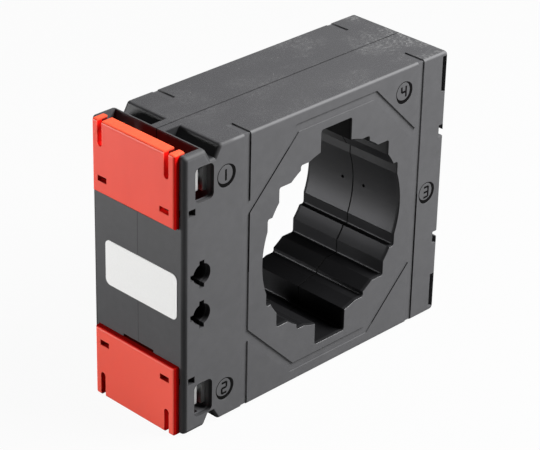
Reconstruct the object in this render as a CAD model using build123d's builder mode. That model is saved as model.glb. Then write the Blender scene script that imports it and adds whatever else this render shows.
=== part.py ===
from build123d import *
import os
from math import cos, hypot, radians, sin, sqrt, tan

# Moulded-case current transformer with a stepped busbar window, standing on its narrow side.
# Frame: X runs along the long side of the window face, away from the terminals; Y runs through
# the window from the front shell to the rear shell; Z is up. The origin lies in the plane of the
# case's lower side, under the window's axis, on the seam between the two half shells.
# All lengths are in millimetres.

os.makedirs("parts", exist_ok=True)

# Primary window: one round conductor and four busbar sections share it
round_conductor = 68.0
flat_bar_width = 14.5
flat_bar_height = 83.0
upright_bars_width = 33.2
upright_bars_height = 63.0
square_bars_side = 53.2
level_bars_width = 63.6
level_bars_height = 33.0
window_corner_round = 0.7
window_edge_chamfer = 0.3
sleeve_wall = 1.5
pin_hole_diameter = 1.3
pin_hole_pitch = 10.3

# Core, its insulating caps and the secondary winding
core_bore_gap = 0.4
cap_wall = 0.7
cap_end_wall = 0.8
core_gap = 0.2
core_build = 3.4
cap_seam_gap = 0.1
winding_gap = 0.2
winding_build = 1.8
winding_span = 104.0
winding_round = 0.6
wire_diameter = 1.8
wire_gap_to_part = 0.3
lead_bend = 6.0
lead_angle = 138.0

# Case, built round the core
case_depth = 45.0
case_wall = 2.0
side_wall = 2.5
partition = 3.6
block_depth = 12.9
core_case_gap = 0.88
winding_side_gap = 2.5
winding_end_gap = 2.9
winding_block_gap = 2.4
edge_round = 1.1
far_corner_round = 1.6
terminal_edge_round = 1.8

# Channel between the terminal block and the body
channel_setback = 0.2
channel_mouth = 6.4
channel_floor = 1.5
channel_depth = 4.2
channel_bridge = 6.4
channel_lip_round = 1.4
channel_root_round = 0.5
channel_web = 1.0

# Shallow border grooves on the two window faces
border_depth = 0.5
border_width = 3.0
border_margin = 6.5
border_wrap = 9.0
octagon_inset = 7.4
octagon_cut = 22.3
octagon_band = 3.2

# Pockets for mounting feet at the far end, set in from the case's narrow sides
foot_pocket_width = 2.2
foot_pocket_reach = 5.0
foot_slot_length = 13.8
foot_slot_inset = 8.5
foot_rib_length = 4.9
foot_rib_inset = 30.6
foot_gap_length = 2.7
foot_wall = 0.6
foot_backing = 1.5

# Keyed sockets beside the label
socket_diameter = 7.8
socket_pitch = 15.1
socket_inset = 7.8
socket_key_width = 2.2
socket_key_reach = 1.2
socket_boss_wall = 1.4
socket_web = 1.0

# Terminal compartments and their wire windows
compartment_length = 24.5
compartment_divider = 4.0
compartment_round = 0.8
outer_slot_depth = 8.6
wire_window_width = 8.2
wire_window_height = 12.8
wire_window_round = 2.0

# Terminal hardware
terminal_inset = 11.6
terminal_side_inset = 5.5
bar_thickness = 1.6
bar_height = 10.0
bar_end_gap = 1.2
thread_diameter = 5.0
thread_clearance = 0.05
wire_gap = 2.45
open_travel = 1.6
clamp_thickness = 1.2
clamp_width = 8.5
clamp_length = 9.4
clamp_hole_clearance = 0.2
clamp_round = 0.8
clamp_groove = 0.3
clamp_groove_width = 0.8
clamp_groove_pitch = 2.2
head_diameter = 8.0
head_height = 2.6
head_round = 0.8
drive_width = 1.2
drive_length = 5.0
drive_depth = 1.3
shank_end_chamfer = 0.4
screw_pocket_clearance = 0.3
screw_pocket_end_gap = 0.5
screw_boss_wall = 1.2
lug_width = 5.0
lug_reach = 7.6
lug_clearance = 0.12

# Snap-on terminal covers
cover_stand = 2.0
cover_seat = 2.6
cover_face = 2.2
cover_skirt = 1.5
cover_length = 26.0
cover_overhang = 0.6
cover_side_gap = 0.3
cover_seat_gap = 0.1
cover_corner_round = 0.9
cover_edge_round = 0.8
slit_width = 2.3
slit_length = 9.4
slit_inset = 3.7
latch_inset = 20.5
latch_height = 2.0
latch_clearance = 0.25
latch_reach = 3.0
latch_setback = 1.8
nub_height = 0.6
nub_gap = 0.25
nub_groove_gap = 0.1
tab_height = 3.0
eye_inset = 4.7
eye_width = 4.4
eye_height = 2.1
ledge_length = 3.0
ledge_depth = 1.7
ledge_inset = 1.5
lever_notch_width = 15.0
lever_notch_height = 1.0
lever_notch_depth = 1.2

# Label
label_margin = 5.0
label_height = 17.0
label_thickness = 0.2
label_round = 2.2
label_shift = -1.6

# Posts inside the case
seat_post_width = 4.0
seat_post_angle = 20.0
corner_post_diameter = 6.0
corner_post_inset = 5.0
dowel_diameter = 3.0
dowel_length = 3.0
dowel_clearance = 0.12

# Tongue and groove along the seam
tongue_inset = 0.7
tongue_width = 0.6
tongue_height = 0.9
tongue_clearance = 0.12

# Values worked out from the sizes above
ends = (1, -1)
past = 1.0
window_sections = (
    (flat_bar_width, flat_bar_height),
    (upright_bars_width, upright_bars_height),
    (square_bars_side, square_bars_side),
    (level_bars_width, level_bars_height),
)


def sleeve_reach(width, height):
    """Distance from the window's axis to the sleeve's farthest point round one bar section."""
    straight = hypot(width / 2 - window_corner_round, height / 2 - window_corner_round)
    return straight + window_corner_round + sleeve_wall


# The core clears the flat bar's notch, and its winding clears all the other sections
half_depth = case_depth / 2
inner_depth = half_depth - case_wall
notch_reach = sleeve_reach(flat_bar_width, flat_bar_height)
side_reach = max(sleeve_reach(width, height) for width, height in window_sections[1:])
side_reach = max(side_reach, round_conductor / 2 + sleeve_wall)
cap_inner = core_bore_gap + max(notch_reach, side_reach + winding_build + winding_gap)
core_inner = cap_inner + cap_wall + core_gap
core_outer = core_inner + core_build
cap_outer = core_outer + core_gap + cap_wall
winding_inner = cap_inner - winding_gap - winding_build
winding_outer = cap_outer + winding_gap + winding_build
winding_face = inner_depth - winding_side_gap
cap_face = winding_face - winding_build - winding_gap
core_height = 2 * (cap_face - cap_end_wall - core_gap)

# The case's outside, in whole tenths of a millimetre, and what is set in from it
half_width = round(cap_outer + core_case_gap + case_wall, 1)
case_width = 2 * half_width
mid_height = half_width
far_end = round(winding_outer + winding_end_gap + case_wall, 1)
compartment_back = -round(winding_outer + winding_block_gap + partition, 1)
terminal_face = compartment_back - block_depth
channel_axis = compartment_back - channel_setback
socket_axis = terminal_face + socket_inset
outer_slot_back = terminal_face + outer_slot_depth
cavity_start = compartment_back + partition
cavity_end = far_end - case_wall
cavity_half_height = half_width - case_wall
border_inner = round_conductor / 2 + border_margin
octagon_half_height = half_width - octagon_inset
foot_pocket_axis = far_end - foot_wall - foot_pocket_width / 2
foot_slot_offset = half_width - foot_slot_inset
foot_rib_offset = half_width - foot_rib_inset
foot_gap_offset = foot_rib_offset - (foot_rib_length - foot_gap_length) / 2
compartment_start = half_width - compartment_length
compartment_half_depth = half_depth - side_wall
pocket_half_height = compartment_start - compartment_divider
window_roof = half_width - channel_depth - channel_web
wire_window_axis = compartment_back - wire_window_width / 2
terminal_axis_offset = half_width - terminal_inset
terminal_pitch = 2 * (compartment_half_depth - terminal_side_inset)

# Terminal hardware and covers
bar_front = compartment_back - bar_thickness
clamp_back = bar_front - wire_gap
head_seat = clamp_back - clamp_thickness
lug_low = terminal_axis_offset - bar_height / 2
shank_length = clamp_thickness + wire_gap + bar_thickness + open_travel + shank_end_chamfer
screw_pocket_radius = thread_diameter / 2 + screw_pocket_clearance
screw_pocket_end = head_seat + wire_gap + shank_length + screw_pocket_end_gap
cover_start = half_width - cover_length
cover_half_width = compartment_half_depth - cover_side_gap
cover_face_x = terminal_face - cover_stand
cover_back = terminal_face + cover_seat
ledge_face = cover_back + cover_seat_gap
slit_offset = cover_half_width - slit_inset
eye_offset = cover_half_width - eye_inset
latch_offset = half_width - latch_inset
latch_axis = terminal_face + latch_setback + latch_reach / 2
label_width = case_depth - 2 * label_margin

# Wires between the sections and to the bars
link_radius = (cap_inner + cap_outer) / 2
link_depth = cap_face + wire_gap_to_part + wire_diameter / 2
lead_level = lug_low + bar_thickness + wire_gap_to_part + wire_diameter / 2
lead_end = winding_outer + wire_gap_to_part

dowel_places = [
    (x, mid_height + side * (cavity_half_height - corner_post_inset))
    for x in (cavity_start + corner_post_inset, cavity_end - corner_post_inset)
    for side in ends
]


def window_profile(wall):
    """Outline of the primary window, or of the sleeve round it."""
    with BuildSketch() as profile:
        with Locations((0, mid_height)):
            Circle(round_conductor / 2 + wall)
            for width, height in window_sections:
                RectangleRounded(width + 2 * wall, height + 2 * wall, window_corner_round + wall)
    return profile.sketch


def case_profile():
    """Outline of the case seen along Y, with the channels between terminal block and body."""
    with BuildSketch() as profile:
        with Locations(((terminal_face + far_end) / 2, mid_height)):
            Rectangle(far_end - terminal_face, case_width)
        fillet(profile.vertices().group_by(Axis.X)[-1], far_corner_round)
        fillet(profile.vertices().group_by(Axis.X)[0], edge_round)
        for side in ends:
            mouth = mid_height + side * half_width
            root = mouth - side * channel_depth
            with BuildLine():
                Polyline(
                    (channel_axis - channel_mouth / 2, mouth),
                    (channel_axis - channel_floor / 2, root),
                    (channel_axis + channel_floor / 2, root),
                    (channel_axis + channel_mouth / 2, mouth),
                    close=True,
                )
            make_face(mode=Mode.SUBTRACT)
        channel_corners = [
            corner for corner in profile.vertices() if abs(corner.X - channel_axis) < channel_mouth
        ]
        lips = [v for v in channel_corners if abs(v.X - channel_axis) > channel_mouth / 3]
        roots = [v for v in channel_corners if abs(v.X - channel_axis) < channel_mouth / 3]
        fillet(lips, channel_lip_round)
        fillet(roots, channel_root_round)
    return profile.sketch


def octagon_profile(grow):
    """Octagonal island round the window, grown by an even border."""
    with BuildSketch() as profile:
        with Locations((0, mid_height)):
            Rectangle(2 * (border_inner + grow), 2 * (octagon_half_height + grow))
        chamfer(profile.vertices(), octagon_cut + grow * (2 - sqrt(2)))
    return profile.sketch


def border_profile():
    """Shallow grooves on a window face: two upright ones, and the octagon between them."""
    with BuildSketch() as profile:
        add(octagon_profile(octagon_band))
        add(octagon_profile(0), mode=Mode.SUBTRACT)
        with Locations((0, mid_height)):
            Rectangle(2 * border_inner, case_width, mode=Mode.INTERSECT)
        for side in ends:
            with Locations((side * (border_inner + border_width / 2), mid_height)):
                Rectangle(border_width, case_width + 2 * past)
    return profile.sketch


def foot_profile(wall):
    """Pockets for the mounting feet's tongues and ribs, or the backing round them."""
    with BuildSketch() as profile:
        for side in ends:
            with Locations((foot_pocket_axis, mid_height + side * foot_slot_offset)):
                Rectangle(foot_pocket_width + 2 * wall, foot_slot_length + 2 * wall)
            with Locations((foot_pocket_axis, mid_height + side * foot_rib_offset)):
                Rectangle(foot_pocket_width + 2 * wall, foot_rib_length + 2 * wall)
    return profile.sketch


def cavity_profile():
    """Room for core and winding, less the window's sleeve and the foot pockets' backing."""
    with BuildSketch() as profile:
        with Locations(((cavity_start + cavity_end) / 2, mid_height)):
            RectangleRounded(cavity_end - cavity_start, 2 * cavity_half_height, case_wall)
        add(foot_profile(foot_backing), mode=Mode.SUBTRACT)
        add(window_profile(sleeve_wall), mode=Mode.SUBTRACT)
    return profile.sketch


def compartment_profile():
    """Both terminal compartments, with the covers' rebate and the slot at the outer end."""
    mouth = terminal_face - past
    with BuildSketch() as profile:
        for side in ends:
            with BuildLine():
                Polyline(
                    (mouth, mid_height + side * (cover_start - cover_side_gap)),
                    (ledge_face, mid_height + side * (cover_start - cover_side_gap)),
                    (ledge_face, mid_height + side * compartment_start),
                    (compartment_back, mid_height + side * compartment_start),
                    (compartment_back, mid_height + side * window_roof),
                    (outer_slot_back, mid_height + side * window_roof),
                    (outer_slot_back, mid_height + side * (half_width + past)),
                    (mouth, mid_height + side * (half_width + past)),
                    close=True,
                )
            make_face()
    return profile.sketch


def socket_profile(wall):
    """The two round sockets with three key slots each, or their bosses."""
    radius = socket_diameter / 2 + wall
    reach = radius + socket_key_reach
    with BuildSketch() as profile:
        for side in ends:
            with Locations((socket_axis, mid_height + side * socket_pitch / 2)):
                Circle(radius)
                Rectangle(socket_key_width + 2 * wall, 2 * reach)
                Rectangle(
                    reach, socket_key_width + 2 * wall, align=(Align.MAX, Align.CENTER)
                )
    return profile.sketch


def tongue_profile(slack):
    """Lip that runs in the wall along the seam, round the body."""
    outer = tongue_inset - slack
    inner = tongue_inset + tongue_width + slack
    with BuildSketch() as profile:
        with Locations((0, mid_height)):
            Rectangle(2 * (far_end - outer), 2 * (half_width - outer))
            Rectangle(2 * (far_end - inner), 2 * (half_width - inner), mode=Mode.SUBTRACT)
        with Locations((cavity_start + case_wall - slack, mid_height)):
            Rectangle(
                far_end, case_width, align=(Align.MAX, Align.CENTER), mode=Mode.SUBTRACT
            )
        for side in ends:
            with Locations((far_end, mid_height + side * half_width)):
                Rectangle(
                    2 * (far_corner_round + tongue_inset + tongue_width - slack),
                    2 * (far_corner_round + tongue_inset + tongue_width - slack),
                    mode=Mode.SUBTRACT,
                )
    return profile.sketch


def seat_post_profile():
    """Posts beside the busbar notch that carry the core's caps."""
    with BuildSketch() as profile:
        for quarter in (90, 270):
            for turn in ends:
                angle = quarter + turn * seat_post_angle
                x = link_radius * cos(radians(angle))
                z = mid_height + link_radius * sin(radians(angle))
                with Locations((x, z)):
                    Rectangle(cap_outer - cap_inner, seat_post_width, rotation=angle)
    return profile.sketch


def half_shell():
    """What both half shells share, made as the front half."""
    with BuildPart() as half:
        with BuildSketch(Plane.XZ):
            add(case_profile())
        extrude(amount=half_depth)
        terminal_edge = half.edges().filter_by(Axis.Z).group_by(Axis.X)[0].sort_by(Axis.Y)[0]
        fillet(terminal_edge, terminal_edge_round)
        rim = half.faces().sort_by(Axis.Y)[0].edges()
        fillet([edge for edge in rim if edge.center().X > terminal_face + terminal_edge_round + 0.1],
               edge_round)
        # The bridge that closes the channels on the seam
        with BuildSketch(Plane.XZ):
            for side in ends:
                with Locations((channel_axis, mid_height + side * (half_width - channel_depth / 2))):
                    Rectangle(channel_mouth + 2 * channel_lip_round, channel_depth)
        extrude(amount=channel_bridge / 2)

        # Window, cavity and terminal compartments
        with BuildSketch(Plane.XZ):
            add(window_profile(0))
        extrude(amount=half_depth, mode=Mode.SUBTRACT)
        mouth = half.faces().sort_by(Axis.Y)[0].inner_wires()[0].edges()
        chamfer(mouth, window_edge_chamfer)
        with BuildSketch(Plane.XZ):
            add(cavity_profile())
        extrude(amount=inner_depth, mode=Mode.SUBTRACT)
        with BuildSketch(Plane.XZ):
            add(compartment_profile())
        extrude(amount=compartment_half_depth, mode=Mode.SUBTRACT)
        with BuildSketch(Plane.XZ):
            for side in ends:
                with Locations((terminal_face, mid_height + side * (cover_start - cover_side_gap))):
                    Rectangle(2 * lever_notch_depth, 2 * lever_notch_height)
        extrude(amount=lever_notch_width / 2, mode=Mode.SUBTRACT)
        with BuildSketch(Plane.XZ):
            with Locations(((terminal_face + case_wall + compartment_back) / 2, mid_height)):
                RectangleRounded(
                    compartment_back - terminal_face - case_wall,
                    2 * pocket_half_height,
                    compartment_round,
                )
            add(socket_profile(socket_boss_wall), mode=Mode.SUBTRACT)
        extrude(amount=inner_depth, mode=Mode.SUBTRACT)
        with BuildSketch(Plane.XZ.offset(half_depth)):
            add(socket_profile(0))
        extrude(amount=socket_web - half_depth, mode=Mode.SUBTRACT)

        # Bosses behind the terminal screws, their pockets and the lugs' way through
        with BuildSketch(Plane.YZ.offset(cavity_start)):
            for side in ends:
                with Locations((-terminal_pitch / 2, mid_height + side * terminal_axis_offset)):
                    Circle(screw_pocket_radius + screw_boss_wall)
        extrude(amount=screw_pocket_end + screw_boss_wall - cavity_start)
        with BuildSketch(Plane.YZ.offset(screw_pocket_end)):
            for side in ends:
                with Locations((-terminal_pitch / 2, mid_height + side * terminal_axis_offset)):
                    Circle(screw_pocket_radius)
        extrude(amount=compartment_back - screw_pocket_end, mode=Mode.SUBTRACT)
        with BuildSketch(Plane.XZ):
            for side in ends:
                with Locations(
                    (
                        (compartment_back + cavity_start) / 2,
                        mid_height + side * (lug_low + bar_thickness / 2),
                    )
                ):
                    Rectangle(partition + 2 * past, bar_thickness + 2 * lug_clearance)
        extrude(amount=lug_width / 2 + lug_clearance, mode=Mode.SUBTRACT)

        # Wire windows and the holes that the covers' nubs snap into
        with BuildSketch(Plane.XZ.offset(half_depth)):
            for side in ends:
                with Locations((wire_window_axis, mid_height + side * terminal_axis_offset)):
                    RectangleRounded(wire_window_width, wire_window_height, wire_window_round)
        extrude(amount=-(side_wall + past), mode=Mode.SUBTRACT)
        with BuildSketch(Plane.XZ.offset(half_depth)):
            for side in ends:
                with Locations((latch_axis, mid_height + side * latch_offset)):
                    Rectangle(latch_reach, latch_height + 2 * latch_clearance)
        extrude(amount=-(side_wall + past), mode=Mode.SUBTRACT)
        with BuildSketch(Plane.XZ.offset(compartment_half_depth)):
            for side in ends:
                with Locations((latch_axis, mid_height + side * latch_offset)):
                    Rectangle(
                        latch_axis - terminal_face + past,
                        latch_height + 2 * latch_clearance,
                        align=(Align.MAX, Align.CENTER),
                    )
        extrude(amount=nub_height - cover_side_gap + nub_groove_gap, mode=Mode.SUBTRACT)
        with BuildSketch(Plane.XZ.offset(compartment_half_depth)):
            for side in ends:
                with Locations(
                    (
                        ledge_face + ledge_depth / 2,
                        mid_height + side * (half_width - ledge_inset - ledge_length / 2),
                    )
                ):
                    Rectangle(ledge_depth, ledge_length)
        extrude(amount=-(cover_side_gap + cover_skirt))

        # Pockets for mounting feet, of which the inner two open through the far end's thin wall
        with BuildSketch(Plane.XZ.offset(half_depth)):
            add(foot_profile(0))
            for side in ends:
                with Locations((far_end, mid_height + side * foot_gap_offset)):
                    Rectangle(2 * foot_wall, foot_gap_length)
        extrude(amount=-foot_pocket_reach, mode=Mode.SUBTRACT)

        # Border grooves on the window face and over the edges
        with BuildSketch(Plane.XZ.offset(half_depth)):
            add(border_profile())
        extrude(amount=-border_depth, mode=Mode.SUBTRACT)
        with BuildSketch(Plane.XZ.offset(half_depth)):
            for side in ends:
                for turn in ends:
                    with Locations(
                        (turn * (border_inner + border_width / 2), mid_height + side * half_width)
                    ):
                        Rectangle(border_width, 2 * border_depth)
        extrude(amount=-border_wrap, mode=Mode.SUBTRACT)

        # Pin holes in the sleeve
        with BuildSketch(Plane.YZ):
            with Locations((-pin_hole_pitch / 2, mid_height)):
                Circle(pin_hole_diameter / 2)
        extrude(amount=round_conductor / 2 + sleeve_wall + past, both=True, mode=Mode.SUBTRACT)

        # Posts for the caps, with a way for the link wires, and posts for the dowels
        with BuildSketch(Plane.XZ.offset(inner_depth)):
            add(seat_post_profile())
        extrude(amount=cap_face - inner_depth)
        with BuildSketch(Plane.XZ.offset(cap_face)):
            with Locations((0, mid_height)):
                Circle(link_radius + wire_diameter / 2 + wire_gap_to_part)
                Circle(link_radius - wire_diameter / 2 - wire_gap_to_part, mode=Mode.SUBTRACT)
        extrude(amount=wire_diameter + 2 * wire_gap_to_part, mode=Mode.SUBTRACT)
        with BuildSketch(Plane.XZ):
            for x, z in dowel_places:
                with Locations((x, z)):
                    Circle(corner_post_diameter / 2)
        extrude(amount=inner_depth)
    return half.part


shared_half = half_shell()

with BuildPart() as front_shell:
    add(shared_half)
    with BuildSketch(Plane.XZ):
        add(tongue_profile(0))
    extrude(amount=-tongue_height)
    with BuildSketch(Plane.XZ):
        for x, z in dowel_places:
            with Locations((x, z)):
                Circle(dowel_diameter / 2)
    extrude(amount=-dowel_length)

with BuildPart() as rear_shell:
    mirror(shared_half, about=Plane.XZ)
    with BuildSketch(Plane.XZ):
        add(tongue_profile(tongue_clearance))
    extrude(amount=-(tongue_height + tongue_clearance), mode=Mode.SUBTRACT)
    with BuildSketch(Plane.XZ):
        for x, z in dowel_places:
            with Locations((x, z)):
                Circle(dowel_diameter / 2 + dowel_clearance)
    extrude(amount=-(dowel_length + dowel_clearance), mode=Mode.SUBTRACT)


def cover_outline(shrink):
    """Outline of the upper terminal cover seen along X, drawn in (Y, Z)."""
    low = mid_height + cover_start + shrink
    high = mid_height + half_width + cover_overhang - shrink
    with BuildSketch() as profile:
        with Locations((0, (low + high) / 2)):
            Rectangle(2 * (cover_half_width - shrink), high - low)
        fillet(profile.vertices().group_by(Axis.Y)[-1], cover_corner_round)
    return profile.sketch


with BuildPart() as terminal_cover_top:
    with BuildSketch(Plane.YZ.offset(cover_face_x)):
        add(cover_outline(0))
    extrude(amount=cover_stand + cover_seat)
    fillet(terminal_cover_top.faces().sort_by(Axis.X)[0].edges(), cover_edge_round)
    with BuildSketch(Plane.YZ.offset(cover_face_x + cover_face)):
        add(cover_outline(cover_skirt))
    extrude(amount=cover_stand + cover_seat - cover_face, mode=Mode.SUBTRACT)
    # Tabs that carry the nubs
    with BuildSketch(Plane.YZ.offset(cover_back)):
        for turn in ends:
            with Locations(
                (turn * (cover_half_width - cover_skirt / 2), mid_height + latch_offset)
            ):
                Rectangle(cover_skirt, tab_height)
    extrude(amount=latch_axis + latch_reach / 2 - nub_gap - cover_back)
    with BuildSketch(Plane.XY.offset(mid_height + latch_offset - latch_height / 2)):
        for turn in ends:
            with BuildLine():
                Polyline(
                    (latch_axis - latch_reach / 2 + nub_gap, turn * cover_half_width),
                    (latch_axis + latch_reach / 2 - nub_gap, turn * cover_half_width),
                    (latch_axis - latch_reach / 2 + nub_gap, turn * (cover_half_width + nub_height)),
                    close=True,
                )
            make_face()
    extrude(amount=latch_height)
    # Slits at the outer end
    with BuildSketch(Plane.YZ.offset(cover_face_x)):
        for turn in ends:
            slit_end = mid_height + half_width + cover_overhang - slit_length
            with Locations((turn * slit_offset, slit_end + slit_length / 2 + past)):
                Rectangle(slit_width, slit_length + 2 * past - slit_width)
            with Locations((turn * slit_offset, slit_end + slit_width / 2)):
                Circle(slit_width / 2)
    extrude(amount=cover_stand + cover_seat, mode=Mode.SUBTRACT)
    # Eyes beside the nubs
    with BuildSketch(Plane.YZ.offset(cover_face_x)):
        for turn in ends:
            with Locations((turn * eye_offset, mid_height + latch_offset)):
                Rectangle(eye_width, eye_height)
    extrude(amount=cover_face, mode=Mode.SUBTRACT)

with BuildPart() as terminal_cover_bottom:
    mirror(terminal_cover_top.part, about=Plane.XY.offset(mid_height))

with BuildPart() as rating_label:
    with BuildSketch(Plane.YZ.offset(terminal_face)):
        with Locations((label_shift, mid_height)):
            RectangleRounded(label_width, label_height, label_round)
    extrude(amount=-label_thickness)


def ring_profile(inner, outer):
    """Ring round the window's axis."""
    with BuildSketch() as profile:
        with Locations((0, mid_height)):
            Circle(outer)
            Circle(inner, mode=Mode.SUBTRACT)
    return profile.sketch


with BuildPart() as core:
    with BuildSketch(Plane.XZ):
        add(ring_profile(core_inner, core_outer))
    extrude(amount=core_height / 2, both=True)

with BuildPart() as core_cap_front:
    with BuildSketch(Plane.XZ.offset(cap_seam_gap)):
        add(ring_profile(cap_inner, cap_outer))
    extrude(amount=cap_face - cap_seam_gap)
    with BuildSketch(Plane.XZ.offset(cap_seam_gap)):
        add(ring_profile(cap_inner + cap_wall, cap_outer - cap_wall))
    extrude(amount=cap_face - cap_seam_gap - cap_end_wall, mode=Mode.SUBTRACT)

with BuildPart() as core_cap_rear:
    mirror(core_cap_front.part, about=Plane.XZ)


def winding(middle_angle):
    """One section of the secondary winding, a closed sleeve round the capped core."""
    start = radians(middle_angle - winding_span / 2)
    section = Plane(
        origin=(0, 0, mid_height),
        x_dir=(cos(start), 0, sin(start)),
        z_dir=(-sin(start), 0, cos(start)),
    )
    with BuildPart() as coil:
        with BuildSketch(section):
            with Locations(((winding_inner + winding_outer) / 2, 0)):
                RectangleRounded(
                    winding_outer - winding_inner, 2 * winding_face, winding_round
                )
                Rectangle(
                    winding_outer - winding_inner - 2 * winding_build,
                    2 * (winding_face - winding_build),
                    mode=Mode.SUBTRACT,
                )
        revolve(axis=Axis((0, 0, mid_height), (0, -1, 0)), revolution_arc=winding_span)
    return coil.part


with BuildPart() as winding_left:
    add(winding(180))

with BuildPart() as winding_right:
    add(winding(0))

with BuildPart() as link_wire_top:
    with BuildLine(Plane.XZ.offset(-link_depth)) as link_path:
        CenterArc((0, mid_height), link_radius, winding_span / 2, 180 - winding_span)
    with BuildSketch(Plane(origin=link_path.line @ 0, z_dir=link_path.line % 0)):
        Circle(wire_diameter / 2)
    sweep(path=link_path.line)

with BuildPart() as link_wire_bottom:
    mirror(link_wire_top.part, about=Plane.XY.offset(mid_height))

with BuildPart() as lead_wire_top:
    with BuildLine(Plane.XZ) as lead_path:
        FilletPolyline(
            (cavity_start + wire_gap_to_part, mid_height + lead_level),
            (lead_level / tan(radians(lead_angle)), mid_height + lead_level),
            (
                lead_end * cos(radians(lead_angle)),
                mid_height + lead_end * sin(radians(lead_angle)),
            ),
            radius=lead_bend,
        )
    with BuildSketch(Plane(origin=lead_path.line @ 0, z_dir=lead_path.line % 0)):
        Circle(wire_diameter / 2)
    sweep(path=lead_path.line)

with BuildPart() as lead_wire_bottom:
    mirror(lead_wire_top.part, about=Plane.XY.offset(mid_height))

with BuildPart() as terminal_bar_top:
    with BuildSketch(Plane.YZ.offset(bar_front)):
        with Locations((0, mid_height + terminal_axis_offset)):
            Rectangle(2 * (compartment_half_depth - bar_end_gap), bar_height)
            with GridLocations(terminal_pitch, 0, 2, 1):
                Circle(thread_diameter / 2 + thread_clearance, mode=Mode.SUBTRACT)
    extrude(amount=bar_thickness)
    with BuildSketch(Plane.YZ.offset(compartment_back)):
        with Locations((0, mid_height + lug_low + bar_thickness / 2)):
            Rectangle(lug_width, bar_thickness)
    extrude(amount=lug_reach)

with BuildPart() as terminal_bar_bottom:
    mirror(terminal_bar_top.part, about=Plane.XY.offset(mid_height))


def clamp_plate(y, z):
    """Square pressure plate that the screw draws towards the terminal bar."""
    with BuildPart() as plate:
        with BuildSketch(Plane.YZ.offset(head_seat)):
            with Locations((y, z)):
                RectangleRounded(clamp_length, clamp_width, clamp_round)
                Circle(thread_diameter / 2 + clamp_hole_clearance, mode=Mode.SUBTRACT)
        extrude(amount=clamp_thickness)
        with BuildSketch(Plane.YZ.offset(clamp_back)):
            with Locations((y, z)):
                with GridLocations(clamp_groove_pitch, 0, 4, 1):
                    Rectangle(clamp_groove_width, clamp_width)
        extrude(amount=-clamp_groove, mode=Mode.SUBTRACT)
    return plate.part


def terminal_screw(y, z):
    """Pan-head screw with a cross recess; its thread is left smooth."""
    with BuildPart() as screw:
        with BuildSketch(Plane.YZ.offset(head_seat - head_height)):
            with Locations((y, z)):
                Circle(head_diameter / 2)
        extrude(amount=head_height)
        fillet(screw.edges().sort_by(Axis.X)[0], head_round)
        with BuildSketch(Plane.YZ.offset(head_seat - head_height)):
            with Locations((y, z)):
                Rectangle(drive_width, drive_length)
                Rectangle(drive_length, drive_width)
        extrude(amount=drive_depth, mode=Mode.SUBTRACT)
        with BuildSketch(Plane.YZ.offset(head_seat)):
            with Locations((y, z)):
                Circle(thread_diameter / 2)
        extrude(amount=shank_length)
        chamfer(screw.edges().sort_by(Axis.X)[-1], shank_end_chamfer)
    return screw.part


pieces = {
    "front_shell": front_shell.part,
    "rear_shell": rear_shell.part,
    "terminal_cover_top": terminal_cover_top.part,
    "terminal_cover_bottom": terminal_cover_bottom.part,
    "rating_label": rating_label.part,
    "core": core.part,
    "core_cap_front": core_cap_front.part,
    "core_cap_rear": core_cap_rear.part,
    "winding_left": winding_left.part,
    "winding_right": winding_right.part,
    "link_wire_top": link_wire_top.part,
    "link_wire_bottom": link_wire_bottom.part,
    "lead_wire_top": lead_wire_top.part,
    "lead_wire_bottom": lead_wire_bottom.part,
    "terminal_bar_top": terminal_bar_top.part,
    "terminal_bar_bottom": terminal_bar_bottom.part,
}
for level, level_side in (("top", 1), ("bottom", -1)):
    for place, place_side in (("front", -1), ("rear", 1)):
        screw_y = place_side * terminal_pitch / 2
        screw_z = mid_height + level_side * terminal_axis_offset
        pieces[f"clamp_plate_{level}_{place}"] = clamp_plate(screw_y, screw_z)
        pieces[f"terminal_screw_{level}_{place}"] = terminal_screw(screw_y, screw_z)

for name, piece in pieces.items():
    piece.label = name
    export_step(piece, f"parts/{name}.step")
    print(name, "volume", round(piece.volume, 1))
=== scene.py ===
# %% [markdown]
# # A moulded current transformer
# The object measures the current in a busbar that runs through its stepped window. Two black
# half shells hold a wound core, and two red covers snap over the screw terminals at one end.
# The construction comes packed from CAD as a fixed frame, so this file starts by loading it and
# by keeping the box that the frame fills. Everything is in the frame's own axes.

# %% Load the frame
from math import cos, pi, radians, sin

import bpy
from mathutils import Matrix, Vector


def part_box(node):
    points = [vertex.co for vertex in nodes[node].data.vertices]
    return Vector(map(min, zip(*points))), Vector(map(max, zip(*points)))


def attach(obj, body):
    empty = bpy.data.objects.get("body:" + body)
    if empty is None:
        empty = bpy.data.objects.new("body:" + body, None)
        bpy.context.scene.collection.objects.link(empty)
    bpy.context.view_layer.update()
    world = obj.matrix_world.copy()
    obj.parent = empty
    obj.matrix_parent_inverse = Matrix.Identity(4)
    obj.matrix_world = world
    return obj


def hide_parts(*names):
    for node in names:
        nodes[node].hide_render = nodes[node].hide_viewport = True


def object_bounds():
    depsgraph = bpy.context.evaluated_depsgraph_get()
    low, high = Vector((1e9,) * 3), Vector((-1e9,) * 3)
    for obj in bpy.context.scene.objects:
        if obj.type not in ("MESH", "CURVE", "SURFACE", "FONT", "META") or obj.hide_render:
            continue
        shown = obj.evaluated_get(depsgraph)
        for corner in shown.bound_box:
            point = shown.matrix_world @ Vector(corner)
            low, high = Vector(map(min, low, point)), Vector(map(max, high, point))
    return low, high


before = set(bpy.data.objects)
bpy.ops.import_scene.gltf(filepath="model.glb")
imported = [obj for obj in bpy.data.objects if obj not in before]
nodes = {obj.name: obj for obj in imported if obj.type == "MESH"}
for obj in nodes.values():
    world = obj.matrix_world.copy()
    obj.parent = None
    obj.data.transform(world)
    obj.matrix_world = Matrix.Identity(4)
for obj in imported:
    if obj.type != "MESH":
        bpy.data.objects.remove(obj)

frame_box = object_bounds()
print("nodes in the frame:", len(nodes))

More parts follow.
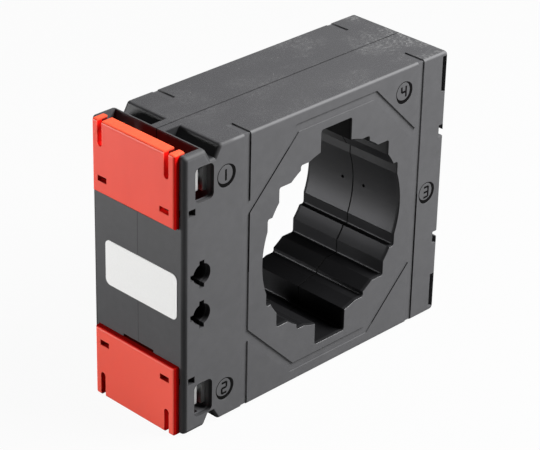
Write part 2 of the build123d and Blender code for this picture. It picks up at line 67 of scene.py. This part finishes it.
# %% [markdown]
# ## Places that the finishes need
# A finish such as the hairline seam has to know where the seam lies. These places are read from
# the boxes of the CAD nodes, so that they follow the frame. Meshes and lamps are in metres, as
# the frame is, while the finishes are written in millimetres, as the object's maker would.

# %% Read the main places
mm = 0.001
shell_low, shell_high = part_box("front_shell")
rear_low, rear_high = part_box("rear_shell")
front_face = shell_low.y / mm
seam_plane = rear_low.y / mm
terminal_face = shell_low.x / mm
shell_top = shell_high.z / mm
mid_height = (shell_low.z + shell_high.z) / 2 / mm
print("front face at", round(front_face, 2), "mm, mid height at", round(mid_height, 2), "mm")

# %% [markdown]
# ## A plain-words way to write materials
# Every finish here is worked out from Object coordinates, so that it stays on the surface. A node
# tree written node by node is hard to read, so three small classes help. Flow wraps one output
# socket and lets Python's operators stand for Math nodes. NodeTree has the one method that makes
# a node, from the node's type, its settings and the values or links of its sockets. Finish is
# the tree of a material, with the few patterns that the finishes share.

# %% Flow, NodeTree and Finish


class Flow:
    """One output socket, with operators that add Math nodes."""

    def __init__(self, maker, socket):
        self.maker = maker
        self.socket = socket

    def maths(self, operation, first, second=0.0):
        return self.maker.node("ShaderNodeMath", {"operation": operation}, {0: first, 1: second})

    def __add__(self, other):
        return self.maths("ADD", self, other)

    def __radd__(self, other):
        return self.maths("ADD", other, self)

    def __sub__(self, other):
        return self.maths("SUBTRACT", self, other)

    def __rsub__(self, other):
        return self.maths("SUBTRACT", other, self)

    def __mul__(self, other):
        return self.maths("MULTIPLY", self, other)

    def __rmul__(self, other):
        return self.maths("MULTIPLY", other, self)

    def __truediv__(self, other):
        return self.maths("DIVIDE", self, other)

    def __rtruediv__(self, other):
        return self.maths("DIVIDE", other, self)

    def __abs__(self):
        return self.maths("ABSOLUTE", self)

    def sine(self):
        return self.maths("SINE", self)

    def root(self):
        return self.maths("SQRT", self)

    def highest(self, other):
        return self.maths("MAXIMUM", self, other)


class NodeTree:
    """A tree of shader nodes, with one method that adds a node."""

    def __init__(self, tree):
        self.tree = tree

    def feed(self, socket, value):
        """Link a flow to a socket, or set a plain value on it."""
        if isinstance(value, Flow):
            self.tree.links.new(value.socket, socket)
        else:
            socket.default_value = value

    def node(self, kind, settings, sockets, output=0):
        """Add a node: its settings first, then the values or links of its sockets."""
        made = self.tree.nodes.new(kind)
        for name, value in settings.items():
            setattr(made, name, value)
        for key, value in sockets.items():
            self.feed(made.inputs[key], value)
        return Flow(self, made.outputs[output])


class Finish(NodeTree):
    """A material whose pattern reads Object coordinates in millimetres."""

    def __init__(self, name):
        self.material = bpy.data.materials.new(name)
        self.material.use_nodes = True
        super().__init__(self.material.node_tree)
        self.shader = self.tree.nodes["Principled BSDF"]
        metres = self.node("ShaderNodeTexCoord", {}, {}, output="Object")
        to_mm = {0: metres, "Scale": 1 / mm}
        self.place = self.node("ShaderNodeVectorMath", {"operation": "SCALE"}, to_mm)
        self.x, self.y, self.z = (
            self.node("ShaderNodeSeparateXYZ", {}, {0: self.place}, output=axis) for axis in "XYZ"
        )

    def noise(self, scale, detail=2.0, roughness=0.5, stretch=None):
        """Noise from 0 to 1; scale counts its blotches per millimetre."""
        where = self.place
        if stretch:
            stretched = {0: where, 1: stretch}
            where = self.node("ShaderNodeVectorMath", {"operation": "MULTIPLY"}, stretched)
        sockets = {"Vector": where, "Scale": scale, "Detail": detail, "Roughness": roughness}
        return self.node("ShaderNodeTexNoise", {}, sockets)

    def ease(self, value, start, end):
        """0 before start, 1 after end, and a smooth rise between them."""
        settings = {"interpolation_type": "SMOOTHSTEP"}
        return self.node("ShaderNodeMapRange", settings, {0: value, 1: start, 2: end})

    def below(self, value, limit, soft):
        """1 up to the limit, easing to 0 over soft."""
        return 1.0 - self.ease(value, limit, limit + soft)

    def band(self, value, centre, half_width, soft):
        """1 within half_width of centre, easing to 0 over soft."""
        return self.below(abs(value - centre), half_width, soft)

    def mix(self, mask, under, over):
        """Colour under where the mask is 0, over where it is 1."""
        settings = {"data_type": "RGBA"}
        return self.node("ShaderNodeMix", settings, {0: mask, 6: under, 7: over}, output=2)

    def surface(self, bump=None, bump_height=0.02, **sockets):
        """Set or link the shader's sockets; bump is a height from 0 to 1, bump_height in mm."""
        for name, value in sockets.items():
            self.feed(self.shader.inputs[name.replace("_", " ")], value)
        if bump is not None:
            tilt = self.node("ShaderNodeBump", {}, {"Distance": bump_height * mm, "Height": bump})
            self.feed(self.shader.inputs["Normal"], tilt)

    def put_on(self, *names):
        """Give the finish to CAD nodes through their objects' material slots."""
        for name in names:
            for spot in nodes[name].material_slots:
                spot.material = self.material
        print(self.material.name, "on", len(names), "nodes")


def colour(red, green, blue):
    """A colour as a shader socket wants it."""
    return (red, green, blue, 1.0)


# %% [markdown]
# ## Black case plastic: faces and window
# The shells are glass-filled plastic from a spark-eroded mould, and some zones of them look
# unlike the rest. Each such zone is a mask here, 1 inside it and 0 outside, so that colour, gloss
# and bump can all use it. Most masks ask how deep a point lies under the front or rear face,
# which is skin_depth. The window's mask is a box with its corners cut off, since the window's
# stepped outline keeps within it, and the octagon's step round the window has to stay out of it.

# %% Faces and window
skin_start = 0.03
skin_end = 0.10
window_half_length = 34.6
window_half_height = 42.0
window_corner_reach = 61.0
rim_width = 0.3
window_shade_foot = -12.0
window_shade_rise = 20.0

case_plastic = Finish("case_plastic")
level = case_plastic.z - mid_height
skin_depth = -front_face - abs(case_plastic.y)
inside = case_plastic.ease(skin_depth, skin_start, skin_end)
on_top = case_plastic.ease(case_plastic.z, shell_top - 0.15, shell_top - 0.05)
on_front = case_plastic.below(case_plastic.y, front_face + 0.1, 0.1)
on_end = case_plastic.below(case_plastic.x, terminal_face + 0.1, 0.3)

corner_reach = abs(case_plastic.x) + abs(level)
in_window = inside * case_plastic.below(abs(case_plastic.x), window_half_length, 0.2)
in_window = in_window * case_plastic.below(abs(level), window_half_height, 0.2)
in_window = in_window * case_plastic.below(corner_reach, window_corner_reach, 0.5)
window_rim = in_window * case_plastic.below(skin_depth, rim_width, 0.2)
window_low = case_plastic.below(level, window_shade_foot, window_shade_rise)
print("window mask:", 2 * window_half_length, "by", 2 * window_half_height, "mm")

# %% [markdown]
# ## Black case plastic: compartments, channels and edges
# The compartments under the covers and the channels beside the terminal block are deep and get
# little light, and the block's rounded edges look darker than its flats: these zones and the window
# get painted shade. Round the window runs the step of the octagon. Its wall is painted pale as lit
# at two of the four slanting corners and painted dark as shade at the other two, and the sign of
# along times up tells which.

# %% Compartments, channels and edges
compartment_middle = -64.0
compartment_half_length = 5.6
compartment_half_depth = 20.0
compartment_half_height = 43.0
channel_axis = -57.3
channel_half_mouth = 3.2
channel_depth = 4.2
edge_width = 1.1
block_edge_width = 1.65
block_end = -50.0
octagon_half_height = 48.0
slant_middle = 34.0
slant_half_length = 11.0
step_wall_depth = 0.26
step_wall_half = 0.18

in_compartment = case_plastic.band(case_plastic.x, compartment_middle, compartment_half_length, 0.3)
in_compartment = in_compartment * case_plastic.below(abs(case_plastic.y), compartment_half_depth, 0.2)
in_compartment = in_compartment * case_plastic.below(abs(level), compartment_half_height, 0.5)
level_depth = shell_top - mid_height - abs(level)
in_channel = inside * case_plastic.band(case_plastic.x, channel_axis, channel_half_mouth, 0.5)
in_channel = in_channel * case_plastic.band(level_depth, channel_depth / 2 + 0.5, channel_depth / 2, 0.5)

round_edges = inside * case_plastic.below(skin_depth, edge_width, 0.2)
block_edges = inside * case_plastic.below(skin_depth, block_edge_width, 0.15)
block_edges = block_edges * case_plastic.below(case_plastic.x, block_end, 3.0)
step_wall = case_plastic.band(skin_depth, step_wall_depth, step_wall_half, 0.06) * (1.0 - in_window)
step_wall = step_wall * case_plastic.band(abs(case_plastic.x), slant_middle, slant_half_length, 1.0)
step_wall = step_wall * case_plastic.below(abs(level), octagon_half_height, 1.0)
# The step wall is painted pale on one pair of slanting corners as lit, and dark on the other pair as
# shade.
painted_lit_side = case_plastic.ease(case_plastic.x * level, -1.0, 1.0)

# Painted shade: the window, compartments, channels and block edges turn near-black in shade_black.
shaded = in_window.highest(in_compartment * 0.75).highest(in_channel * 0.8)
shaded = shaded.highest(block_edges * (0.6 - 0.6 * on_top))
print("nodes for the zones so far:", len(case_plastic.tree.nodes))

# %% [markdown]
# ## Black case plastic: seam and ring marks
# The two halves meet in a hairline seam. Four rings with a plain number are engraved in the
# front. Such thin lines need no mesh: a mask of the distance to the line is enough, for a dark
# colour and for a shallow groove in the bump. The seam's dark line is its own, while the rings and
# digits are painted dark as the shade in their engraving. Each digit is a set of bars round the
# ring's middle, and a ring is painted broader on the side away from the light, as that shade.

# %% Seam and ring marks
seam_half_width = 0.15
seam_wider_in_window = 0.07
mark_radius = 3.7
mark_line = 0.36
digit_width = 2.2
digit_height = 4.0
mark_places = {1: (-51.8, 40.2), 2: (-51.5, -40.6), 3: (48.1, -0.9), 4: (33.3, 43.0)}
# Each digit is a set of bars: centre along and up in half widths and quarter heights, and its run
digit_bars = {
    1: ((0, 0, "tall"),),
    2: ((0, 2, "level"), (1, 1, "short"), (0, 0, "level"), (-1, -1, "short"), (0, -2, "level")),
    3: ((0, 2, "level"), (0, 0, "level"), (0, -2, "level"), (1, 0, "tall")),
    4: ((-1, 1, "short"), (0, 0, "level"), (1, 0, "tall")),
}
half_runs = {
    "tall": (mark_line, digit_height / 2),
    "short": (mark_line, digit_height / 4),
    "level": (digit_width / 2, mark_line),
}


def ring_mark(digit):
    """An engraved ring with a plain number in it, painted dark as the engraving's shade."""
    along, up = mark_places[digit]
    across = case_plastic.x - along
    height = level - up
    away_from_light = (across - height) / mark_radius
    # The ring's line is painted broader away from the light, as the engraving's shade.
    line = 0.10 + 0.55 * case_plastic.ease(away_from_light, -0.9, 0.9)
    mark = case_plastic.band((across * across + height * height).root(), mark_radius, line, 0.12)
    for column, row, run in digit_bars[digit]:
        half_wide, half_high = half_runs[run]
        bar = case_plastic.band(across, column * digit_width / 2, half_wide, 0.1)
        bar = bar * case_plastic.band(height, row * digit_height / 4, half_high, 0.1)
        mark = mark.highest(bar)
    return mark


seam_reach = seam_half_width + seam_wider_in_window * in_window
seam = case_plastic.band(case_plastic.y, seam_plane, seam_reach, 0.08) * (1.0 - 0.65 * on_end)
marks = ring_mark(1)
for digit in (2, 3, 4):
    marks = marks.highest(ring_mark(digit))
marks = marks * on_front
# The seam is a real dark line; the rings, digits and step wall are painted dark as shade.
dark_lines_and_shade = seam.highest(marks).highest(step_wall * (0.8 - 0.8 * painted_lit_side))
print("ring marks:", len(mark_places))

# %% [markdown]
# ## Black case plastic: rubs, dust and the surface
# The plastic has a fine satin grain outside, and smoother walls in the window, where the mould's
# slides were polished. A few pale rubs from handling lie on it, and dust, specks and faint
# scratches have settled on the top, most of them towards the far end. The whole top is also
# painted a lighter black as the light falling on it, and the dust's rise towards the far end
# paints the top's brighter far end too. Lines and shaded zones have a metallic share with a
# near-black colour, only because that takes the gloss off them.

# %% Rubs, dust and the surface
grain_per_mm = 3.2
clean_black = colour(0.030, 0.030, 0.032)
clouded_black = colour(0.062, 0.062, 0.065)
lit_top_black = colour(0.052, 0.052, 0.054)
dust_and_light_grey = colour(0.15, 0.15, 0.15)
speck_grey = colour(0.42, 0.42, 0.41)
shade_black = colour(0.009, 0.009, 0.010)
rub_and_light_grey = colour(0.16, 0.16, 0.165)
line_black = colour(0.002, 0.002, 0.002)

grain = case_plastic.noise(grain_per_mm, 3.0, 0.6)
cloud = case_plastic.noise(0.035, 3.0, 0.55)
mottle = case_plastic.noise(0.3, 4.0, 0.65)
rub = case_plastic.ease(case_plastic.noise(0.9, 4.0, 0.7, stretch=(0.35, 1.0, 1.6)), 0.66, 0.78)
rub = rub * case_plastic.ease(case_plastic.noise(0.06, 1.0), 0.52, 0.66)
# The top is painted a lighter, cloudy black as the light falling on it.
painted_top_light = case_plastic.ease(case_plastic.noise(0.05, 4.0, 0.6, stretch=(0.5, 1.0, 1.0)), 0.25, 0.75)
painted_top_light = painted_top_light * case_plastic.band(case_plastic.x, 20.0, 10.0, 60.0)
dust_and_light = case_plastic.ease(case_plastic.noise(1.1, 4.0, 0.7), 0.46, 0.68)
dust_and_light = dust_and_light * case_plastic.ease(case_plastic.noise(0.07, 3.0, 0.6), 0.44, 0.62)
# The dust's rise towards the far end also paints the top's brighter far end.
dust_and_light = dust_and_light * (0.35 + 0.65 * case_plastic.ease(case_plastic.x, 5.0, 45.0))
specks = case_plastic.ease(case_plastic.noise(1.6, 2.0, 0.6), 0.735, 0.76)
scratches = case_plastic.ease(case_plastic.noise(0.5, 3.0, 0.6, stretch=(0.5, 1.6, 1.0)), 0.68, 0.74)

black = case_plastic.mix(cloud * 0.45 + mottle * 0.55, clean_black, clouded_black)
black = case_plastic.mix(on_top * (0.6 + painted_top_light * 0.4), black, lit_top_black)
black = case_plastic.mix(on_top * dust_and_light * 0.75, black, dust_and_light_grey)
black = case_plastic.mix(on_top * specks.highest(scratches * 0.2) * 0.6, black, speck_grey)
black = case_plastic.mix(shaded, black, shade_black)
# Real pale rubs, and the step wall painted pale as lit.
black = case_plastic.mix((rub * 0.35).highest(step_wall * painted_lit_side * 0.9), black, rub_and_light_grey)
dull = dark_lines_and_shade.highest(window_rim).highest(round_edges * (0.5 - 0.5 * on_top))
case_plastic.surface(
    Base_Color=case_plastic.mix(dark_lines_and_shade * 0.97, black, line_black),
    Roughness=0.42 + 0.10 * grain + 0.12 * rub + 0.48 * dull - 0.20 * on_top,
    Metallic=(dark_lines_and_shade * 0.9).highest(shaded * (0.32 + 0.43 * window_low)),
    bump=grain * 0.35 * (1.0 - 0.8 * in_window) - seam.highest(marks * 3.0),
    bump_height=0.05,
)
case_plastic.put_on("front_shell", "rear_shell")

# %% [markdown]
# ## Red cover plastic
# The covers are clear red plastic, so light enters them: a little subsurface scattering gives that
# depth, and faint flow marks run away from the gate. The sides, the slits and the eyes are painted
# a deeper red as shade, with no white gloss, which a metallic share gives them, the rim along the
# top is painted orange as the light falling on it, and the back is painted a dark red as shade.
# How deep a point lies behind the face tells them apart. Towards the bottom the red is painted
# lighter, as light.

# %% Cover plastic
cover_plane = -72.0
cover_top = 104.6
cover_thickness = 2.2
lower_light_full = 20.0
lower_light_none = 60.0
shaded_side_red = colour(0.62, 0.003, 0.001)
lit_rim_red = colour(0.68, 0.054, 0.014)
shaded_back_red = colour(0.13, 0.003, 0.001)

cover_plastic = Finish("cover_plastic")
depth = cover_plastic.x - cover_plane
# The rim along the top is painted orange as the light falling on it.
on_lit_rim = cover_plastic.ease(cover_plastic.z, cover_top - 0.9, cover_top - 0.3)
# Sides, slits and eyes are painted a deeper red as shade.
on_shaded_side = cover_plastic.ease(depth, 0.05, 0.35)
# The back is painted a dark red as the shade behind the cover.
on_shaded_back = cover_plastic.ease(depth, cover_thickness, cover_thickness + 0.2) * (1.0 - on_lit_rim)
# Towards the bottom the red is painted lighter, as light.
on_lit_lower = cover_plastic.ease(cover_plastic.z, lower_light_none, lower_light_full)
flow_marks = cover_plastic.noise(0.12, 3.0, 0.55, stretch=(1.0, 1.0, 0.4))
fine_grain = cover_plastic.noise(2.6, 2.0, 0.5)
red = cover_plastic.mix(flow_marks, colour(0.70, 0.056, 0.032), colour(0.79, 0.074, 0.042))
red = cover_plastic.mix(on_lit_lower, red, colour(0.76, 0.088, 0.056))
red = cover_plastic.mix(on_shaded_side, red, shaded_side_red)
red = cover_plastic.mix(on_lit_rim, red, lit_rim_red)
cover_plastic.surface(
    Base_Color=cover_plastic.mix(on_shaded_back, red, shaded_back_red),
    Roughness=0.36 + 0.10 * fine_grain + 0.50 * cover_plastic.ease(depth, 0.02, 0.08),
    Metallic=0.85 * cover_plastic.ease(depth, 0.1, 0.4) * (1.0 - on_lit_rim),
    Subsurface_Weight=0.2,
    Subsurface_Radius=(1.0, 0.25, 0.12),
    Subsurface_Scale=1.0 * mm,
    bump=fine_grain,
    bump_height=0.012,
)
cover_plastic.put_on("terminal_cover_top", "terminal_cover_bottom")

# %% [markdown]
# ## Label film
# The label is left blank: a white film with a faint orange-peel surface.

# %% Label film
label_film = Finish("label_film")
film_grain = label_film.noise(1.5, 2.0, 0.5)
label_film.surface(
    Base_Color=label_film.mix(film_grain, colour(0.76, 0.76, 0.75), colour(0.81, 0.81, 0.80)),
    Roughness=0.34 + 0.08 * film_grain,
    bump=film_grain,
    bump_height=0.01,
)
label_film.put_on("rating_label")

# %% [markdown]
# ## Tinned bars and zinc plated screws
# The terminal bars and clamp plates are tinned copper, softly cloudy with fine scratches. Their
# middle is painted dark as the shade inside the case, and the ends that the wire windows show keep
# their bright tin. The screws are zinc plated steel. Both are plain metals whose cloudiness shows
# in colour and gloss alike.

# %% Tinned metal and zinc
painted_shade_half_width = 15.0
bright_from = 18.5

tinned = Finish("tinned_copper")
tin_cloud = tinned.noise(0.35, 3.0, 0.6)
tin_lines = tinned.noise(2.2, 2.0, 0.6, stretch=(1.0, 0.08, 1.0))
bright_tin = tinned.mix(tin_cloud, colour(0.66, 0.66, 0.65), colour(0.80, 0.80, 0.79))
# The bars' middle is painted dark as the shade inside the case.
at_ends = tinned.ease(abs(tinned.y), painted_shade_half_width, bright_from)
tinned.surface(
    Base_Color=tinned.mix(at_ends, colour(0.12, 0.12, 0.12), bright_tin),
    Metallic=1.0,
    Roughness=0.26 + 0.16 * tin_cloud,
    bump=tin_lines,
    bump_height=0.008,
)
tinned.put_on(*[name for name in nodes if name.startswith(("terminal_bar", "clamp_plate"))])

zinc = Finish("zinc_plate")
zinc_cloud = zinc.noise(0.8, 3.0, 0.6)
zinc.surface(
    Base_Color=zinc.mix(zinc_cloud, colour(0.62, 0.64, 0.66), colour(0.78, 0.79, 0.80)),
    Metallic=1.0,
    Roughness=0.24 + 0.14 * zinc_cloud,
    bump=zinc_cloud,
    bump_height=0.006,
)
zinc.put_on(*[name for name in nodes if name.startswith("terminal_screw")])

# %% [markdown]
# ## Hidden pieces: core strip, cap plastic and enamelled wire
# Core, caps and winding are hidden in the closed case, and still get the finish that they have.
# The core is wound from thin strip, whose edges are rings about its middle: the sine of the
# distance draws them. The winding's turns lie round the ring, so there the sine takes the angle,
# and it paints a highlight on each turn and shade in the crease between turns.

# %% Core, caps and winding
strip_thickness = 0.3
turn_pitch = 1.9
winding_radius = 45.0

core_strip = Finish("core_strip")
ring_level = core_strip.z - mid_height
ring_distance = (core_strip.x * core_strip.x + ring_level * ring_level).root()
strip_edges = (ring_distance * (2 * pi / strip_thickness)).sine() * 0.5 + 0.5
core_strip.surface(
    Base_Color=core_strip.mix(strip_edges, colour(0.26, 0.27, 0.28), colour(0.45, 0.46, 0.47)),
    Metallic=1.0,
    Roughness=0.38 + 0.1 * core_strip.noise(0.8),
    bump=strip_edges,
    bump_height=0.04,
)
core_strip.put_on("core")

cap_plastic = Finish("cap_plastic")
cap_cloud = cap_plastic.noise(0.2, 2.0)
cap_plastic.surface(
    Base_Color=cap_plastic.mix(cap_cloud, colour(0.62, 0.60, 0.53), colour(0.70, 0.68, 0.61)),
    Roughness=0.42 + 0.1 * cap_cloud,
    bump=cap_plastic.noise(2.5),
)
cap_plastic.put_on("core_cap_front", "core_cap_rear")

enamel = Finish("enamelled_wire")
angle = enamel.node("ShaderNodeMath", {"operation": "ARCTAN2"}, {0: enamel.z - mid_height, 1: enamel.x})
# The turns' bright crests are a painted highlight and the dark between them painted shade.
turns = abs((angle * (winding_radius * pi / turn_pitch)).sine())
enamel.surface(
    Base_Color=enamel.mix(turns, colour(0.22, 0.06, 0.018), colour(0.52, 0.19, 0.06)),
    Metallic=0.8,
    Roughness=0.24 + 0.1 * enamel.noise(0.6),
    Coat_Weight=0.5,
    bump=turns,
    bump_height=0.5,
)
enamel.put_on(*[name for name in nodes if name.startswith(("winding", "link_wire", "lead_wire"))])

# %% [markdown]
# ## Threaded terminal screws
# The CAD screws have a smooth shank, so each one is replaced by a screw with a real thread. A short
# profile is drawn point by point and turned about the screw's axis. With a rise for each turn the
# same step makes the thread's helix. Two bars are then cut out of the head for the cross recess.

# %% Tools for turning and cutting
turning_steps = 40
merge_reach = 0.002 * mm


def turned(name, points, turns=1, rise=0.0):
    """A profile of (along, radius) points turned about X, as a lathe or a thread die would."""
    bpy.ops.object.select_all(action="DESELECT")
    bpy.ops.mesh.primitive_plane_add()
    piece = bpy.context.object
    piece.name = name
    bpy.ops.object.mode_set(mode="EDIT")
    bpy.ops.mesh.select_all(action="SELECT")
    bpy.ops.mesh.merge(type="CENTER")
    place = Vector((0, 0, 0))
    for number, (along, radius) in enumerate(points):
        step = Vector((along, radius, 0)) - place
        place += step
        if number == 0:
            bpy.ops.transform.translate(value=step)
        else:
            bpy.ops.mesh.extrude_region_move(TRANSFORM_OT_translate={"value": step})
    bpy.ops.object.mode_set(mode="OBJECT")
    turn = piece.modifiers.new("turn", "SCREW")
    turn.axis = "X"
    turn.steps = turning_steps
    turn.render_steps = turning_steps
    turn.iterations = turns
    turn.screw_offset = rise
    turn.use_merge_vertices = True
    turn.merge_threshold = merge_reach
    bpy.ops.object.modifier_apply(modifier=turn.name)
    return piece


def cut_bar(piece, size):
    """Cut a bar out of a piece, centred on the piece's origin."""
    bpy.ops.object.select_all(action="DESELECT")
    bpy.ops.mesh.primitive_cube_add(size=1.0)
    bar = bpy.context.object
    bar.scale = size
    bpy.ops.object.transform_apply(scale=True)
    cut = piece.modifiers.new("recess", "BOOLEAN")
    cut.operation = "DIFFERENCE"
    cut.object = bar
    bpy.context.view_layer.objects.active = piece
    bpy.ops.object.modifier_apply(modifier=cut.name)
    bpy.data.objects.remove(bar)


print("turned in", turning_steps, "steps a turn")

# %% [markdown]
# ## The four screws
# Head and shank are one turned body and the thread is a second one. They are joined, set in their
# place with their normals pointing outwards, and ride on the screw's own body of the frame, so that
# they turn with it. Their object stays at the origin, as the CAD nodes do.

# %% Terminal screws
thread_pitch = 0.8 * mm
thread_outer = 2.5 * mm
thread_core = 2.06 * mm
thread_root = thread_core - 0.01 * mm
thread_crest = 0.12 * mm
thread_turns = 8
thread_start = 0.4 * mm
head_radius = 4.0 * mm
head_height = 2.6 * mm
head_round = 0.8 * mm
tip_chamfer = 0.4 * mm
drive_width = 1.2 * mm
drive_length = 5.0 * mm
drive_depth = 1.3 * mm
smooth_angle = radians(32)


def turned_screw(place, length):
    """Head and shank with the cross recess, the head's face at the origin."""
    head_corner = [
        (head_round * (1 - cos(radians(angle))), head_radius - head_round * (1 - sin(radians(angle))))
        for angle in range(0, 91, 15)
    ]
    shank = [
        (head_height, head_radius),
        (head_height, thread_core),
        (length - tip_chamfer, thread_core),
        (length, thread_core - tip_chamfer),
        (length, 0),
    ]
    body = turned(f"screw_{place}", [(0, 0)] + head_corner + shank)
    cut_bar(body, (2 * drive_depth, drive_width, drive_length))
    cut_bar(body, (2 * drive_depth, drive_length, drive_width))
    return body


def turned_thread(place):
    """One ridge of the thread, turned into a helix that lies on the shank."""
    start = head_height + thread_start
    ridge = [
        (start, thread_root),
        (start + (thread_pitch - thread_crest) / 2, thread_outer),
        (start + (thread_pitch + thread_crest) / 2, thread_outer),
        (start + thread_pitch, thread_root),
    ]
    return turned(f"thread_{place}", ridge, turns=thread_turns - 1, rise=thread_pitch)


def threaded_screw(place):
    """One screw in its place, shown instead of its CAD node."""
    node = f"terminal_screw_{place}"
    low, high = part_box(node)
    body = turned_screw(place, high.x - low.x)
    thread = turned_thread(place)
    bpy.ops.object.select_all(action="DESELECT")
    thread.select_set(True)
    body.select_set(True)
    bpy.context.view_layer.objects.active = body
    bpy.ops.object.join()
    body.location = (low.x, (low.y + high.y) / 2, (low.z + high.z) / 2)
    bpy.ops.object.transform_apply(location=True)
    bpy.ops.object.mode_set(mode="EDIT")
    bpy.ops.mesh.select_all(action="SELECT")
    bpy.ops.mesh.normals_make_consistent(inside=False)
    bpy.ops.object.mode_set(mode="OBJECT")
    bpy.ops.object.shade_smooth_by_angle(angle=smooth_angle)
    body.data.materials.clear()
    body.data.materials.append(zinc.material)
    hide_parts(node)
    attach(body, f"screw_{place}")
    print(body.name, "has", len(body.data.polygons), "faces")


for place in ("top_front", "top_rear", "bottom_front", "bottom_rear"):
    threaded_screw(place)

# %% [markdown]
# ## Floor
# A product shot stands on pale paper. The floor shows almost white to the camera and still keeps
# the object's faint shadow, because its surface is mixed from a plain white light, for rays from
# the camera, and a grey paper, which also keeps the floor from lighting the object from below.

# %% Floor
floor_size = 6.0
floor_gap = 0.1 * mm
white_share = 0.95

floor_level = frame_box[0][2] - floor_gap
bpy.ops.object.select_all(action="DESELECT")
bpy.ops.mesh.primitive_plane_add(size=floor_size, location=(0, 0, floor_level))
floor = bpy.context.object
floor.name = "floor"
bpy.ops.object.transform_apply(location=True)
paper = Finish("floor_paper")
paper.surface(
    Base_Color=paper.mix(paper.noise(0.05, 2.0), colour(0.18, 0.18, 0.18), colour(0.20, 0.20, 0.20)),
    Roughness=0.9,
)
white = paper.node("ShaderNodeEmission", {}, {"Color": colour(1, 1, 1), "Strength": 1.0})
from_camera = paper.node("ShaderNodeLightPath", {}, {}, output="Is Camera Ray")
grey = Flow(paper, paper.shader.outputs["BSDF"])
blend = paper.node("ShaderNodeMixShader", {}, {0: from_camera * white_share, 1: grey, 2: white})
paper.feed(paper.tree.nodes["Material Output"].inputs["Surface"], blend)
floor.data.materials.append(paper.material)
print("floor at", round(floor_level / mm, 1), "mm")

# %% [markdown]
# ## Light
# Two wide lamps light the object: the right one from high in front of it, and the left one from
# low behind the terminal end, so that it brightens that end without washing out the window. The
# world is white to the camera, as a backdrop is, and gives the object only a little light.

# %% World and lamps
room_light = 0.06

world = bpy.data.worlds.new("studio")
bpy.context.scene.world = world
world.use_nodes = True
air = NodeTree(world.node_tree)
background = air.tree.nodes["Background"]
seen = air.node("ShaderNodeLightPath", {}, {}, output="Is Camera Ray")
air.feed(background.inputs["Color"], colour(1, 1, 1))
air.feed(background.inputs["Strength"], room_light + (1.0 - room_light) * seen)


def soft_lamp(name, place, aim, size, power):
    """A wide area lamp that points at a spot on the object."""
    bpy.ops.object.select_all(action="DESELECT")
    bpy.ops.object.light_add(type="AREA", location=place)
    lamp = bpy.context.object
    lamp.name = name
    lamp.data.size = size
    lamp.data.energy = power
    direction = Vector(aim) - Vector(place)
    lamp.rotation_euler = direction.to_track_quat("-Z", "Y").to_euler()
    print(name, "is", round(direction.length, 2), "m from its aim")


middle = (shell_low + rear_high) / 2
soft_lamp("right_light", place=(0.33, -0.36, 0.57), aim=middle, size=0.42, power=20.5)
soft_lamp("left_light", place=(-0.72, 0.62, 0.05), aim=middle, size=0.40, power=15.5)

# %% [markdown]
# ## Camera
# The camera stands where the photograph was taken from, found by fitting the case's outline. Its
# three axes are worked out from the angles and put into its matrix, which leaves no doubt about
# the order of turns.

# %% Camera
camera_place = Vector((-510.17, -492.73, 424.09)) * mm
camera_azimuth = radians(-45.537)
camera_elevation = radians(28.048)
camera_roll = radians(1.292)
sensor_width = 36.0
image_width = 540
focal_pixels = 2285.9

backwards = Vector(
    (
        sin(camera_azimuth) * cos(camera_elevation),
        -cos(camera_azimuth) * cos(camera_elevation),
        sin(camera_elevation),
    )
)
level_right = Vector((0, 0, 1)).cross(backwards).normalized()
level_up = backwards.cross(level_right)
right = cos(camera_roll) * level_right + sin(camera_roll) * level_up
up = -sin(camera_roll) * level_right + cos(camera_roll) * level_up
bpy.ops.object.select_all(action="DESELECT")
bpy.ops.object.camera_add()
camera = bpy.context.object
camera.name = "photo_camera"
camera_axes = Matrix((right, up, backwards)).transposed().to_4x4()
camera.matrix_world = Matrix.Translation(camera_place) @ camera_axes
camera.data.sensor_width = sensor_width
camera.data.lens = focal_pixels * sensor_width / image_width
bpy.context.scene.camera = camera
bpy.context.scene.view_settings.view_transform = "Standard"
print("lens", round(camera.data.lens, 1), "mm")
